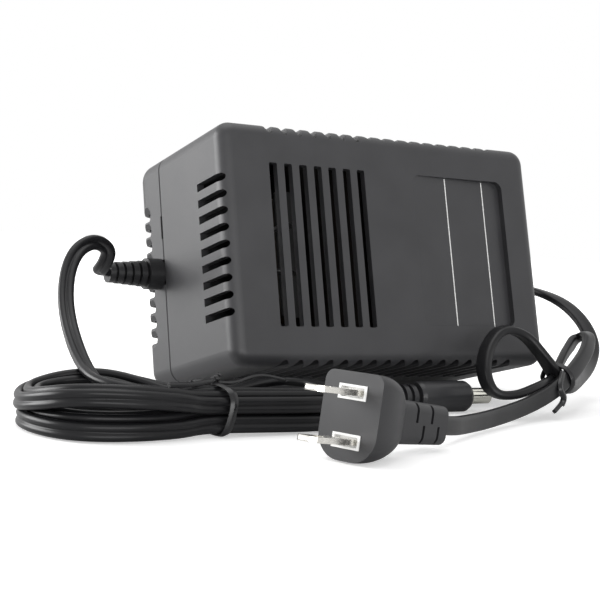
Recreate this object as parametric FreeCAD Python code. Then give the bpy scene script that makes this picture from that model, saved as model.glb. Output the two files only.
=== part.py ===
import FreeCAD
import Part
import math
import os

from FreeCAD import Rotation, Vector

# Laminated core: E and I sheets three tongues wide, with the E's tongue across the middle.
TONGUE = 22.0
CORE_WIDTH = 3 * TONGUE
CORE_DEPTH = 2.5 * TONGUE
CORE_STACK = 50.0
CORE_BOLT_RADIUS = 1.8
SEAT_HEIGHT = 2.5
SEAT_WIDTH = 4.0
SEAT_REACH = 3.5
SEAT_FENCE = 9.5
SEAT_CLEARANCE = 0.2
SIDE_ROOM = 4.5  # from the core's sides to the case's narrow walls

# Case: two moulded shells round the core, which meet in a plane behind the middle of its depth.
# In the case's own upright frame X is the long side, Y the depth and Z the height.
CASE_WALL = 2.5
CASE_LENGTH = 128.0
CASE_DEPTH = CORE_DEPTH + 2 * (CASE_WALL + SEAT_HEIGHT)
CASE_HEIGHT = CORE_WIDTH + 2 * (CASE_WALL + SIDE_ROOM)
CASE_CORNER = 5.5  # round of the edges that run front to back
CASE_EDGE = 4.5  # round of the front rim
REAR_EDGE = 7.7  # round of the rear rim
REAR_SHELL_DEPTH = 19.5
FRONT_SHELL_DEPTH = CASE_DEPTH - REAR_SHELL_DEPTH
PARTING_CHAMFER = 0.45
LIP_WALL = 1.1  # tongue of the rear shell inside the front shell's rim
LIP_HEIGHT = 2.4
LIP_CLEARANCE = 0.1
CASE_LEAN = 15.0  # degrees: the front edge lies on the tied lead

# Vents
SLOT_WIDTH = 3.0
SLOT_PITCH = 5.73
SLOT_FLARE = 0.8  # flared mouth of the side slots
FIRST_SLOT_X = 19.0
LAST_SLOT_MARGIN = 16.0
FACE_SLOTS = 7
FACE_SLOT_LOW = 12.5
FACE_SLOT_HIGH = CASE_HEIGHT - 13.4
FACE_SLOT_ROUND = 0.6
SIDE_SLOTS = 1 + int((CASE_LENGTH - FIRST_SLOT_X - LAST_SLOT_MARGIN) / SLOT_PITCH)
SIDE_SLOT_BACK = FRONT_SHELL_DEPTH - 11.5
SIDE_SLOT_START = 0.9  # from the front face to a side slot's round end
TOP_SLOT_START = 0.1  # the same for the top slots in line with the face slots
END_SLOTS = 9
END_SLOT_PITCH = 5.47
END_SLOT_WIDTH = 2.6
END_SLOT_DEPTH = 4.5
END_SLOT_MIDDLE_Z = CASE_HEIGHT / 2 - 0.8
END_SLOT_START = 0.95
END_SLOT_BACK = 17.7
REAR_SLOT_REACH = 9.0
REAR_SLOT_DEPTH = 6.0
REAR_SLOT_FLARE = 1.8
OPEN = 1.0  # how far a cutter stands out of the face that it opens
FAR = 200.0  # beyond every piece of the leads

# Shallow field on the front face, and the pry notch in the parting line
FIELD_LEFT = FIRST_SLOT_X + FACE_SLOTS * SLOT_PITCH + 15.9
FIELD_RIGHT = CASE_LENGTH - 13.1
FIELD_LOW = 13.4
FIELD_HIGH = CASE_HEIGHT - 13.4
FIELD_DEPTH = 2.2  # at its right edge; its floor slopes up to the left
FIELD_STEP = 0.3  # depth at its left edge
FIELD_ROUND = 3.0
FIELD_PAD = 2.0  # thickening of the wall behind the field
FIELD_PAD_MARGIN = 2.0
NOTCH_LOW = CASE_HEIGHT / 2 + 10.5
NOTCH_HEIGHT = 8.0
NOTCH_WIDTH = 0.9
NOTCH_DEPTH = 1.2

# Case screws
SCREW_INSET = 10.0
SCREW_RADIUS = 1.5
SCREW_GRIP = 0.05
SCREW_CLEARANCE = 0.2
SCREW_LENGTH = 22.0
SCREW_HEAD_RADIUS = 2.8
SCREW_HEAD_HEIGHT = 2.0
SCREW_RECESS_RADIUS = 1.1
SCREW_RECESS_DEPTH = 1.2
WELL_RADIUS = 3.3
WELL_FLOOR = 8.5  # from the parting plane to the screw's seat
WELL_DEPTH = REAR_SHELL_DEPTH - WELL_FLOOR
SCREW_HEAD_ROUND = 0.6
BOSS_RADIUS = 4.4
PILOT_DEPTH = SCREW_LENGTH - WELL_FLOOR + 0.5

# Bobbin and windings
BOBBIN_CLEARANCE = 0.2
BOBBIN_WALL = 1.0
BOBBIN_FLANGE = 1.2
BOBBIN_OVERHANG = 10.5
BOBBIN_HOLE_ROUND = 0.3
BOBBIN_TUBE_ROUND = 1.0
BOBBIN_FLANGE_ROUND = 1.5
WINDING_STEP = 0.9  # how far a winding stays inside the flanges
WINDING_ROUND = 4.0
TAPE_THICKNESS = 0.4
PRIMARY_SHARE = 0.48
PIN_RADIUS = 0.5
PIN_LENGTH = 7.0
PIN_SPREAD = 8.0
PIN_INSET = 2.0
CUTOUT_RADIUS = 2.0
CUTOUT_LENGTH = 11.0
CUTOUT_ROUND = 0.5
CUTOUT_LEAD = 3.0
WIRE_RADIUS = 0.8
WIRE_SPREAD = 1.6

# Strain reliefs, held at both ends in notches of the rear shell that the front shell closes
RELIEF_Z = CASE_HEIGHT / 2 - 1.2
RELIEF_NECK_RADIUS = 4.3
RELIEF_HOLE_CLEARANCE = 0.1
RELIEF_Y = FRONT_SHELL_DEPTH + RELIEF_NECK_RADIUS + RELIEF_HOLE_CLEARANCE
RELIEF_BARB_RADIUS = 6.0
RELIEF_BARB = 2.0
RELIEF_COLLAR_RADIUS = 5.4
RELIEF_COLLAR = 5.4
RELIEF_RIB_RADIUS = 4.5  # first rib; the last one has the tip's radius
RELIEF_TIP_RADIUS = 3.5
RELIEF_GROOVE = 0.8
RELIEF_GROOVE_DEPTH = 1.0
RELIEF_RIB = 2.0
RELIEF_WEB = 2.4
OUTPUT_RELIEF_RIBS = 5
MAINS_RELIEF_RIBS = 6

# Leads. Both are flat twin leads, and their solids are round tubes of about the same section.
OUTPUT_LEAD = 3.6
MAINS_LEAD = 4.2
RUN_SHARE = 0.45

# Tied hank of the output lead, lying on the ground
HANK_HEIGHT = 14.1
HANK_FRONT = -77.5
HANK_ROUND = 4.0
HANK_LEFT = -137.0
HANK_LEFT_RADIUS = 17.5
HANK_RIGHT = -34.0
HANK_RIGHT_RADIUS = 22.0
HANK_TIE_X = -87.0
HANK_TIE_BACK = HANK_FRONT + 22.0
HANK_WAIST_ROUND = 25.0
LEAD_FLAT = 1.2

# Twist ties
TIE_WIDTH = 4.0
TIE_THICKNESS = 1.0
TIE_CLEARANCE = 0.2
TIE_CORNER = 5.0
TIE_KNOT_RADIUS = 1.3
TIE_KNOT_TIP = 0.8
TIE_KNOT_LENGTH = 6.0
TIE_KNOT_WAY = Vector(-0.5, 0, 1)
MAINS_TIE_CENTRE = Vector(58.5, -58.9, 12.2)
MAINS_TIE_ALONG = Vector(0.93, 0.33, 0.15)
MAINS_TIE_RADIUS = 9.1
MAINS_TIE_WIDTH = 2.6
TAIL_LENGTH = 7.5
TAIL_TURN = 35.0

# Barrel connector on the output lead: 5.5 mm sleeve, 2.1 mm contact bore
JACK_START = Vector(-9.0, -45.5, 5.4)
JACK_RADIUS = 5.3
JACK_NOSE_RADIUS = 4.6
JACK_BODY = 21.4
JACK_SHOULDER = 1.5
JACK_SHOULDER_DROP = 0.4
JACK_NOSE_TAPER = 1.2
JACK_RIBS = 4
JACK_RIB = 1.7
JACK_RIB_GAP = 1.3
JACK_RIB_RADIUS = 4.3
JACK_CORE_RADIUS = 3.0
SLEEVE_RADIUS = 2.75
SLEEVE_BORE = 2.3
SLEEVE_LENGTH = 9.5
SLEEVE_HUB = 6.0  # wider hub of the sleeve inside the overmould
SLEEVE_HUB_RADIUS = 3.4
CONTACT_RADIUS = 1.5
CONTACT_BORE = 1.05
CONTACT_SETBACK = 0.5
INSULATOR_SETBACK = 1.0

# Mains plug: flat two-blade type, lying on its narrow side with its grip on the ground
PLUG_FACE = Vector(-71.6, -118.0, 12.1)
PLUG_HEADING = 18.5  # degrees from +X to the direction from the face to the grip
PLUG_DROOP = 7.5
PLUG_HEIGHT = 23.3
PLUG_THICKNESS = 19.0
PLUG_TOP_ROUND = 2.8
PLUG_BOTTOM_ROUND = 7.5
PLUG_BODY = 18.0
PLUG_MIDDLE = 8.0  # from the face to the section where the head begins to narrow
PLUG_TAPER = 1.4
PLUG_GRIP = 22.0
GRIP_HEIGHT = 12.2
GRIP_THICKNESS = 9.0
GRIP_TIP_HEIGHT = 11.0
GRIP_TIP_THICKNESS = 8.0
GRIP_ROUND = 2.6
GRIP_SLOT = 1.1
GRIP_SLOT_DEPTH = 1.6
GRIP_SLOT_REACH = 5.8
GRIP_SLOTS = 4
GRIP_SLOT_PITCH = 3.7
GRIP_FIRST_SLOT = 6.0
BLADE_SPACING = 12.7
BLADE_WIDTH = 6.35
BLADE_THICKNESS = 1.5
BLADE_REACH = 17.5
BLADE_ROOT = 9.0
BLADE_CHAMFER = 1.6
BLADE_TIP_CHAMFER = 0.45
BLADE_HOLE = 1.6
BLADE_HOLE_AT = 11.7
HOLDER_PAD_WIDTH = 9.0
HOLDER_PAD_HEIGHT = 3.9
HOLDER_PROUD = 0.3
HOLDER_DEPTH = 10.0
HOLDER_BRIDGE = 4.0
HOLDER_SLOT = 0.6  # gap round a blade at the face
HOLDER_SLOT_DEPTH = 1.2

# Route of the output lead from its strain relief to the hank, and from the hank to the connector
LEAD_EXIT = 5.0  # a lead leaves a moulded piece straight for this distance
OUTPUT_ROUTE = [
    (-92.0, 12.2, 42.5),
    (-91.0, 7.5, 49.0),
    (-94.5, 3.0, 52.5),
    (-101.5, -1.0, 51.0),
    (-107.5, -6.0, 41.5),
    (-110.5, -15.0, 27.0),
    (-110.0, -29.0, 13.0),
]
TAIL_ROUTE = [
    (-27.5, -49.5, 6.6),
    (-16.5, -45.5, 5.4),
]
# Route of the mains lead from its strain relief, through the tie's two loops, to the plug
MAINS_ROUTE = [
    (106.0, 10.5, 40.5),
    (111.5, 0.0, 36.5),
    (108.0, -17.0, 28.0),
    (97.0, -33.0, 19.5),
    (79.0, -47.0, 13.0),
    (57.0, -57.5, 10.6),
    (38.0, -61.0, 5.6),
    (24.0, -60.5, 7.5),
    (18.5, -57.5, 17.5),
    (23.5, -53.5, 28.5),
    (35.5, -51.0, 32.0),
    (46.0, -53.0, 23.0),
    (55.0, -55.8, 15.2),
    (65.5, -51.0, 17.4),
    (75.0, -44.5, 24.0),
    (79.5, -41.0, 30.0),
    (85.5, -45.0, 32.0),
    (84.5, -52.5, 26.0),
    (72.0, -59.0, 14.6),
    (56.5, -63.6, 8.6),
    (40.0, -66.5, 3.6),
    (17.0, -76.0, 2.6),
    (-8.0, -91.5, 3.0),
]

MIDDLE = Vector(CASE_LENGTH / 2, CASE_DEPTH / 2, CASE_HEIGHT / 2)
X, Y, Z = Vector(1, 0, 0), Vector(0, 1, 0), Vector(0, 0, 1)


def half_height():
    """Half the height of the leaning case, rounds included."""
    lean = math.radians(CASE_LEAN)
    across = (CASE_DEPTH / 2 - CASE_EDGE) * math.sin(lean)
    upright = (CASE_HEIGHT / 2 - CASE_EDGE) * math.cos(lean)
    return across + upright + CASE_EDGE


LEAN = FreeCAD.Placement(Vector(0, 0, half_height()), Rotation(X, -CASE_LEAN)) * FreeCAD.Placement(
    -MIDDLE, Rotation()
)


def write(name, shape, place=None):
    """Writes one piece, and prints its volume as a quick test."""
    if place is not None:
        shape = shape.copy()
        shape.Placement = place * shape.Placement
    print(f"{name}: {len(shape.Solids)} solid, {shape.Volume:.0f} mm3, valid {shape.isValid()}")
    shape.exportStep(f"parts/{name}.step")


def box(low, high):
    """A box between two corners."""
    low, high = Vector(*low), Vector(*high)
    size = high - low
    return Part.makeBox(size.x, size.y, size.z, low)


def rounded_face(low, high, radius, level):
    """A rounded rectangle in a plane of constant Y, between two (x, z) corners."""
    solid = Part.makeBox(high[0] - low[0], 1, high[1] - low[1], Vector(low[0], level, low[1]))
    upright = [e for e in solid.Edges if abs(e.tangentAt(0).y) > 0.9]
    solid = solid.makeFillet(radius, upright)
    return [f for f in solid.Faces if abs(f.CenterOfMass.y - level) < 1e-6][0]


def slab(inset, start, end):
    """The case's outline, set in by a distance, from one depth to another."""
    low, high = (inset, inset), (CASE_LENGTH - inset, CASE_HEIGHT - inset)
    face = rounded_face(low, high, CASE_CORNER - inset, start)
    return face.extrude(Vector(0, end - start, 0))


def rim(solid, level):
    """The edges of a solid that lie at one depth."""
    return [e for e in solid.Edges if all(abs(v.Y - level) < 1e-6 for v in e.Vertexes)]


def slot_plan(half, start, length, level):
    """Outline of a slot along +Y with a round end at its start."""
    far_left, far_right = Vector(-half, length, level), Vector(half, length, level)
    left, right = Vector(-half, start + half, level), Vector(half, start + half, level)
    edges = [
        Part.LineSegment(far_left, far_right).toShape(),
        Part.LineSegment(far_right, right).toShape(),
        Part.Arc(right, Vector(0, start, level), left).toShape(),
        Part.LineSegment(left, far_left).toShape(),
    ]
    return Part.Wire(edges)


def edge_slot(width, depth, length, flare):
    """Cutters of a slot along +Y that reaches down by depth from its mouth at Z = 0."""
    half = width / 2
    slot = Part.Face(slot_plan(half, 0, length, -depth)).extrude(Z * (depth + OPEN))
    if not flare:
        return [slot]
    foot = slot_plan(half, 0, length, -flare)
    mouth = slot_plan(half + 2 * flare, -2 * flare, length, flare)
    return [slot, Part.makeLoft([foot, mouth], True, True)]


def side_slots(side):
    """The vents of one long narrow side: 1 is the top, -1 the bottom."""
    cutters = []
    for i in range(SIDE_SLOTS):
        start = TOP_SLOT_START if side > 0 and i < FACE_SLOTS else SIDE_SLOT_START
        level = CASE_HEIGHT if side > 0 else 0.0
        for cutter in edge_slot(SLOT_WIDTH, CASE_EDGE, SIDE_SLOT_BACK - start, SLOT_FLARE):
            if side < 0:
                cutter.rotate(Vector(), Y, 180)
            cutter.translate(Vector(FIRST_SLOT_X + i * SLOT_PITCH, start, level))
            cutters.append(cutter)
    return cutters


def end_slots(start, end, side, depth, flare):
    """The vents that cut an upright edge, between two depths; side -1 is the left end."""
    cutters = []
    for i in range(END_SLOTS):
        z = END_SLOT_MIDDLE_Z + (i - (END_SLOTS - 1) / 2) * END_SLOT_PITCH
        for cutter in edge_slot(END_SLOT_WIDTH, depth, end - start, flare):
            cutter.rotate(Vector(), Y, 90 * side)
            cutter.translate(Vector(CASE_LENGTH if side > 0 else 0.0, start, z))
            cutters.append(cutter)
    return cutters


def face_slots():
    """The upright vents of the front face."""
    cutters = []
    for i in range(FACE_SLOTS):
        x = FIRST_SLOT_X + i * SLOT_PITCH - SLOT_WIDTH / 2
        low, high = (x, FACE_SLOT_LOW), (x + SLOT_WIDTH, FACE_SLOT_HIGH)
        face = rounded_face(low, high, FACE_SLOT_ROUND, -OPEN)
        cutters.append(face.extrude(Y * (CASE_WALL + 2 * OPEN)))
    return cutters


def front_field():
    """The field beside the front vents, whose floor slopes in to the right."""
    face = rounded_face((FIELD_LEFT, FIELD_LOW), (FIELD_RIGHT, FIELD_HIGH), FIELD_ROUND, -OPEN)
    room = face.extrude(Y * (OPEN + FIELD_DEPTH))
    outline = [
        Vector(FIELD_LEFT, -OPEN, 0),
        Vector(FIELD_RIGHT, -OPEN, 0),
        Vector(FIELD_RIGHT, FIELD_DEPTH, 0),
        Vector(FIELD_LEFT, FIELD_STEP, 0),
    ]
    wedge = Part.Face(Part.makePolygon(outline + outline[:1])).extrude(Z * CASE_HEIGHT)
    return room.common(wedge)


def field_pad():
    """The thicker wall behind the field."""
    margin = FIELD_PAD_MARGIN
    low = (FIELD_LEFT - margin, CASE_WALL, FIELD_LOW - margin)
    high = (FIELD_RIGHT + margin, CASE_WALL + FIELD_PAD, FIELD_HIGH + margin)
    return box(low, high)


def screw_places():
    """The four screws, as (x, z)."""
    for x in (SCREW_INSET, CASE_LENGTH - SCREW_INSET):
        for z in (SCREW_INSET, CASE_HEIGHT - SCREW_INSET):
            yield x, z


def core_places():
    """Where the core begins and ends along X, Y and Z."""
    half = Vector(CORE_STACK, CORE_DEPTH, CORE_WIDTH) / 2
    return MIDDLE - half, MIDDLE + half


def core_seats(front):
    """Ribs of one shell that hold the core's corners."""
    low, high = core_places()
    wall = CASE_WALL if front else CASE_DEPTH - CASE_WALL
    seat = low.y if front else high.y
    fence = wall + SEAT_FENCE if front else wall - SEAT_FENCE
    ribs = []
    for x in (low.x, high.x - SEAT_WIDTH):
        for edge, sign in ((low.z, 1), (high.z, -1)):
            side = CASE_WALL if sign > 0 else CASE_HEIGHT - CASE_WALL
            outline = [
                (wall, side),
                (fence, side),
                (fence, edge - sign * SEAT_CLEARANCE),
                (seat, edge - sign * SEAT_CLEARANCE),
                (seat, edge + sign * SEAT_REACH),
                (wall, edge + sign * SEAT_REACH),
            ]
            points = [Vector(x, y, z) for y, z in outline]
            rib = Part.Face(Part.makePolygon(points + points[:1]))
            ribs.append(rib.extrude(Vector(SEAT_WIDTH, 0, 0)))
    return ribs


def relief_notches():
    """The notches of both strain reliefs, from the rear shell's lip to round bottoms."""
    radius = RELIEF_NECK_RADIUS + RELIEF_HOLE_CLEARANCE
    foot = Vector(-OPEN, RELIEF_Y, RELIEF_Z)
    bottom = Part.makeCylinder(radius, CASE_LENGTH + 2 * OPEN, foot, X)
    low = (-OPEN, FRONT_SHELL_DEPTH - LIP_HEIGHT - OPEN, RELIEF_Z - radius)
    return [bottom, box(low, (CASE_LENGTH + OPEN, RELIEF_Y, RELIEF_Z + radius))]


def front_shell():
    """Deep front shell: vented face, field, screw bosses and the seats of the core."""
    outer = slab(0, 0, FRONT_SHELL_DEPTH)
    outer = outer.makeFillet(CASE_EDGE, rim(outer, 0))
    outer = outer.makeChamfer(PARTING_CHAMFER, rim(outer, FRONT_SHELL_DEPTH))
    inner = slab(CASE_WALL, CASE_WALL, FRONT_SHELL_DEPTH + OPEN)
    inner = inner.makeFillet(CASE_EDGE - CASE_WALL, rim(inner, CASE_WALL))
    rebate_inset = CASE_WALL - LIP_WALL - LIP_CLEARANCE
    rebate_start = FRONT_SHELL_DEPTH - LIP_HEIGHT - LIP_CLEARANCE
    rebate = slab(rebate_inset, rebate_start, FRONT_SHELL_DEPTH + OPEN)
    shell = outer.cut([inner, rebate])
    vents = face_slots() + side_slots(1) + side_slots(-1)
    vents += end_slots(END_SLOT_START, END_SLOT_BACK, -1, END_SLOT_DEPTH, 0)
    shell = shell.cut(vents + [front_field()])
    bosses = []
    for x, z in screw_places():
        foot = Vector(x, CASE_WALL, z)
        bosses.append(Part.makeCylinder(BOSS_RADIUS, FRONT_SHELL_DEPTH - CASE_WALL, foot, Y))
    shell = shell.fuse(bosses + core_seats(True) + [field_pad()])
    pilots = []
    for x, z in screw_places():
        top = Vector(x, FRONT_SHELL_DEPTH, z)
        pilots.append(Part.makeCylinder(SCREW_RADIUS + SCREW_GRIP, PILOT_DEPTH, top, -Y))
    return shell.cut(pilots)


def rear_shell():
    """Shallow rear shell: lip, screw wells and the other seats of the core."""
    outer = slab(0, FRONT_SHELL_DEPTH, CASE_DEPTH)
    outer = outer.makeFillet(REAR_EDGE, rim(outer, CASE_DEPTH))
    outer = outer.makeChamfer(PARTING_CHAMFER, rim(outer, FRONT_SHELL_DEPTH))
    inner = slab(CASE_WALL, FRONT_SHELL_DEPTH - OPEN, CASE_DEPTH - CASE_WALL)
    inner = inner.makeFillet(CASE_EDGE - CASE_WALL, rim(inner, CASE_DEPTH - CASE_WALL))
    lip_start = FRONT_SHELL_DEPTH - LIP_HEIGHT
    lip = slab(CASE_WALL - LIP_WALL, lip_start, FRONT_SHELL_DEPTH + OPEN)
    lip_hollow = slab(CASE_WALL, lip_start - OPEN, FRONT_SHELL_DEPTH + 2 * OPEN)
    shell = outer.cut(inner).fuse(lip.cut(lip_hollow))
    slots_from = CASE_DEPTH - REAR_SLOT_REACH
    for side in (-1, 1):
        vents = end_slots(slots_from, CASE_DEPTH + OPEN, side, REAR_SLOT_DEPTH, REAR_SLOT_FLARE)
        shell = shell.cut(vents)
    bosses = []
    for x, z in screw_places():
        foot = Vector(x, FRONT_SHELL_DEPTH, z)
        length = CASE_DEPTH - CASE_WALL / 2 - FRONT_SHELL_DEPTH
        bosses.append(Part.makeCylinder(BOSS_RADIUS, length, foot, Y))
    shell = shell.fuse(bosses + core_seats(False))
    cutters = relief_notches()
    for x, z in screw_places():
        top = Vector(x, CASE_DEPTH + OPEN, z)
        cutters.append(Part.makeCylinder(WELL_RADIUS, WELL_DEPTH + OPEN, top, -Y))
        cutters.append(Part.makeCylinder(SCREW_RADIUS + SCREW_CLEARANCE, CASE_DEPTH, top, -Y))
    notch_end = FRONT_SHELL_DEPTH + NOTCH_WIDTH
    notch_low = (-OPEN, FRONT_SHELL_DEPTH, NOTCH_LOW)
    cutters.append(box(notch_low, (NOTCH_DEPTH, notch_end, NOTCH_LOW + NOTCH_HEIGHT)))
    return shell.cut(cutters)


def case_screws():
    """Four self-tapping screws, driven from the rear into the front shell's bosses."""
    screws = []
    for x, z in screw_places():
        seat = Vector(x, CASE_DEPTH - WELL_DEPTH, z)
        shank = Part.makeCylinder(SCREW_RADIUS, SCREW_LENGTH, seat, -Y)
        head = Part.makeCylinder(SCREW_HEAD_RADIUS, SCREW_HEAD_HEIGHT, seat, Y)
        head = head.makeFillet(SCREW_HEAD_ROUND, rim(head, seat.y + SCREW_HEAD_HEIGHT))
        top = seat + Y * (SCREW_HEAD_HEIGHT - SCREW_RECESS_DEPTH)
        recess = Part.makeCylinder(SCREW_RECESS_RADIUS, SCREW_RECESS_DEPTH + OPEN, top, Y)
        screws.append(shank.fuse(head).removeSplitter().cut(recess))
    return Part.makeCompound(screws)


def core_e_stack():
    """Stack of E sheets: back at the front, three legs towards the rear."""
    low, high = core_places()
    stack = box(low, (high.x, high.y - TONGUE / 2, high.z))
    window_low = low.y + TONGUE / 2
    for z in (low.z + TONGUE / 2, MIDDLE.z + TONGUE / 2):
        window = box((low.x - OPEN, window_low, z), (high.x + OPEN, high.y, z + TONGUE / 2))
        stack = stack.cut(window)
    return stack.cut(core_bolt_holes(low.y + TONGUE / 4))


def core_bolt_holes(level):
    """Two holes along the stack, at one depth."""
    low, high = core_places()
    reach = TONGUE / 4
    holes = []
    for z in (low.z + reach, high.z - reach):
        foot = Vector(low.x - OPEN, level, z)
        holes.append(Part.makeCylinder(CORE_BOLT_RADIUS, CORE_STACK + 2 * OPEN, foot, X))
    return holes


def core_i_stack():
    """Stack of I sheets that closes the E."""
    low, high = core_places()
    stack = box((low.x, high.y - TONGUE / 2, low.z), high)
    return stack.cut(core_bolt_holes(high.y - TONGUE / 4))


def coil_ring(inner, outer, start, end, round_inner, round_outer):
    """A ring round the core's tongue: inner and outer are its half sizes along X and Z."""
    rings = []
    for half, radius in ((outer, round_outer), (inner, round_inner)):
        low = (MIDDLE.x - half[0], MIDDLE.z - half[1])
        high = (MIDDLE.x + half[0], MIDDLE.z + half[1])
        rings.append(rounded_face(low, high, radius, start).extrude(Vector(0, end - start, 0)))
    return rings[0].cut(rings[1])


def bobbin_sizes():
    """Depths of the bobbin's ends and middle flange, and half sizes of its hole, tube and flanges."""
    low, high = core_places()
    start = low.y + TONGUE / 2 + BOBBIN_CLEARANCE
    end = high.y - TONGUE / 2 - BOBBIN_CLEARANCE
    hole = (CORE_STACK / 2 + BOBBIN_CLEARANCE, TONGUE / 2 + BOBBIN_CLEARANCE)
    tube = (hole[0] + BOBBIN_WALL, hole[1] + BOBBIN_WALL)
    flange = (CORE_STACK / 2 + BOBBIN_OVERHANG, TONGUE - BOBBIN_CLEARANCE)
    middle = start + BOBBIN_FLANGE + (end - start - 3 * BOBBIN_FLANGE) * PRIMARY_SHARE
    return start, end, middle, hole, tube, flange


def bobbin():
    """Moulded two-chamber bobbin on the tongue."""
    start, end, middle, hole, tube, flange = bobbin_sizes()
    pieces = [coil_ring(hole, tube, start, end, BOBBIN_HOLE_ROUND, BOBBIN_TUBE_ROUND)]
    for y in (start, middle, end - BOBBIN_FLANGE):
        ring = coil_ring(hole, flange, y, y + BOBBIN_FLANGE, BOBBIN_HOLE_ROUND, BOBBIN_FLANGE_ROUND)
        pieces.append(ring)
    body = pieces[0].fuse(pieces[1:]).removeSplitter()
    return body.cut([p for _, p in pins(PIN_RADIUS)])


def chamber(first):
    """Start and end of a winding chamber, the one near the front first."""
    start, end, middle, _, _, _ = bobbin_sizes()
    if first:
        return start + BOBBIN_FLANGE, middle
    return middle + BOBBIN_FLANGE, end - BOBBIN_FLANGE


def winding(first):
    """All turns of one winding as one ring that fills its chamber."""
    _, _, _, _, tube, flange = bobbin_sizes()
    outer = tuple(size - WINDING_STEP for size in flange)
    return coil_ring(tube, outer, *chamber(first), BOBBIN_TUBE_ROUND, WINDING_ROUND)


def winding_tape(first):
    """Insulating tape round one winding."""
    _, _, _, _, _, flange = bobbin_sizes()
    inner = tuple(size - WINDING_STEP for size in flange)
    outer = tuple(size + TAPE_THICKNESS for size in inner)
    round_outer = WINDING_ROUND + TAPE_THICKNESS
    return coil_ring(inner, outer, *chamber(first), WINDING_ROUND, round_outer)


def pins(radius):
    """The soldering pins that stand in the bobbin's front flange, two at each end."""
    start, _, _, _, _, flange = bobbin_sizes()
    for side in (-1, 1):
        for z in (-PIN_SPREAD, PIN_SPREAD):
            foot = MIDDLE + Vector(side * (flange[0] - PIN_INSET), 0, z)
            foot.y = start + BOBBIN_FLANGE
            yield foot - Y * PIN_LENGTH, Part.makeCylinder(radius, PIN_LENGTH, foot, -Y)


def cutout_place():
    """Middle of the thermal cut-out, which lies on the primary winding's tape."""
    _, _, _, _, _, flange = bobbin_sizes()
    start, end = chamber(True)
    x = MIDDLE.x + flange[0] - WINDING_STEP + TAPE_THICKNESS + CUTOUT_RADIUS
    return Vector(x, (start + end) / 2, MIDDLE.z)


def thermal_cutout():
    """Round can of the cut-out, with a bare lead at each end."""
    middle = cutout_place()
    foot = middle - Z * (CUTOUT_LENGTH / 2)
    can = Part.makeCylinder(CUTOUT_RADIUS, CUTOUT_LENGTH, foot, Z)
    can = can.makeFillet(CUTOUT_ROUND, [can.Edges[0], can.Edges[2]])
    leads = []
    for sign in (-1, 1):
        end = middle + Z * (sign * CUTOUT_LENGTH / 2)
        leads.append(Part.makeCylinder(PIN_RADIUS, CUTOUT_LEAD, end, Z * sign))
    return can.fuse(leads)


def route_wire(points):
    """Straight runs joined by tangent arcs, and the arcs' radii."""
    points = [Vector(*p) for p in points]
    edges, radii, at = [], [], points[0]
    for before, corner, after in zip(points, points[1:], points[2:]):
        into, out = corner - before, after - corner
        half_turn = into.getAngle(out) / 2
        reach = RUN_SHARE * min(into.Length, out.Length)
        radius = reach / math.tan(half_turn)
        into.normalize()
        out.normalize()
        first, last = corner - into * reach, corner + out * reach
        inward = (out - into).normalize()
        sag = radius / math.cos(half_turn) - radius
        edges.append(Part.LineSegment(at, first).toShape())
        edges.append(Part.Arc(first, corner + inward * sag, last).toShape())
        radii.append(radius)
        at = last
    edges.append(Part.LineSegment(at, points[-1]).toShape())
    return Part.Wire(edges), radii


def tube(points, radius, name):
    """A round tube along a route; prints its length, its radii and a test of its volume."""
    path, radii = route_wire(points)
    start, ahead = Vector(*points[0]), Vector(*points[1]) - Vector(*points[0])
    section = Part.Wire(Part.makeCircle(radius, start, ahead))
    solid = path.makePipeShell([section], True, False)
    share = solid.Volume / (math.pi * radius**2 * path.Length)
    listed = " ".join(f"{r:.1f}" for r in radii)
    print(f"{name}: {path.Length:.1f} mm long, radii {listed}, volume share {share:.3f}")
    return solid


def relief(side, ribs):
    """Ribbed strain relief, moulded on its lead; side -1 is at the left end."""
    groove_radius = RELIEF_TIP_RADIUS - RELIEF_GROOVE_DEPTH
    length = relief_length(ribs)
    inside = CASE_WALL + RELIEF_BARB
    neck, collar = RELIEF_NECK_RADIUS, RELIEF_COLLAR_RADIUS
    outline = [(-inside, 0), (-inside, RELIEF_BARB_RADIUS), (-CASE_WALL, RELIEF_BARB_RADIUS)]
    outline += [(-CASE_WALL, neck), (0, neck), (0, collar), (RELIEF_COLLAR, collar)]
    at = RELIEF_COLLAR
    for i in range(ribs):
        radius = RELIEF_RIB_RADIUS + (RELIEF_TIP_RADIUS - RELIEF_RIB_RADIUS) * i / (ribs - 1)
        outline += [(at, groove_radius), (at + RELIEF_GROOVE, groove_radius)]
        at += RELIEF_GROOVE
        outline += [(at, radius), (at + RELIEF_RIB, radius)]
        at += RELIEF_RIB
    outline.append((length, 0))
    points = [Vector(x, r, 0) for x, r in outline]
    solid = Part.Face(Part.makePolygon(points + points[:1])).revolve(Vector(), X, 360)
    half_web, web_end = RELIEF_WEB / 2, length - RELIEF_RIB / 2
    web = box((0, -half_web, -neck), (web_end, half_web, neck))
    solid = solid.fuse(web.common(Part.makeCylinder(RELIEF_TIP_RADIUS, length, Vector(), X)))
    if side < 0:
        solid.rotate(Vector(), Z, 180)
    solid.translate(Vector(CASE_LENGTH if side > 0 else 0, RELIEF_Y, RELIEF_Z))
    return solid


def relief_length(ribs):
    return RELIEF_COLLAR + ribs * (RELIEF_GROOVE + RELIEF_RIB)


def relief_tip(side, ribs):
    """The middle of a strain relief's tip, in the leaning frame."""
    x = CASE_LENGTH + relief_length(ribs) if side > 0 else -relief_length(ribs)
    return LEAN.multVec(Vector(x, RELIEF_Y, RELIEF_Z))


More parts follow.
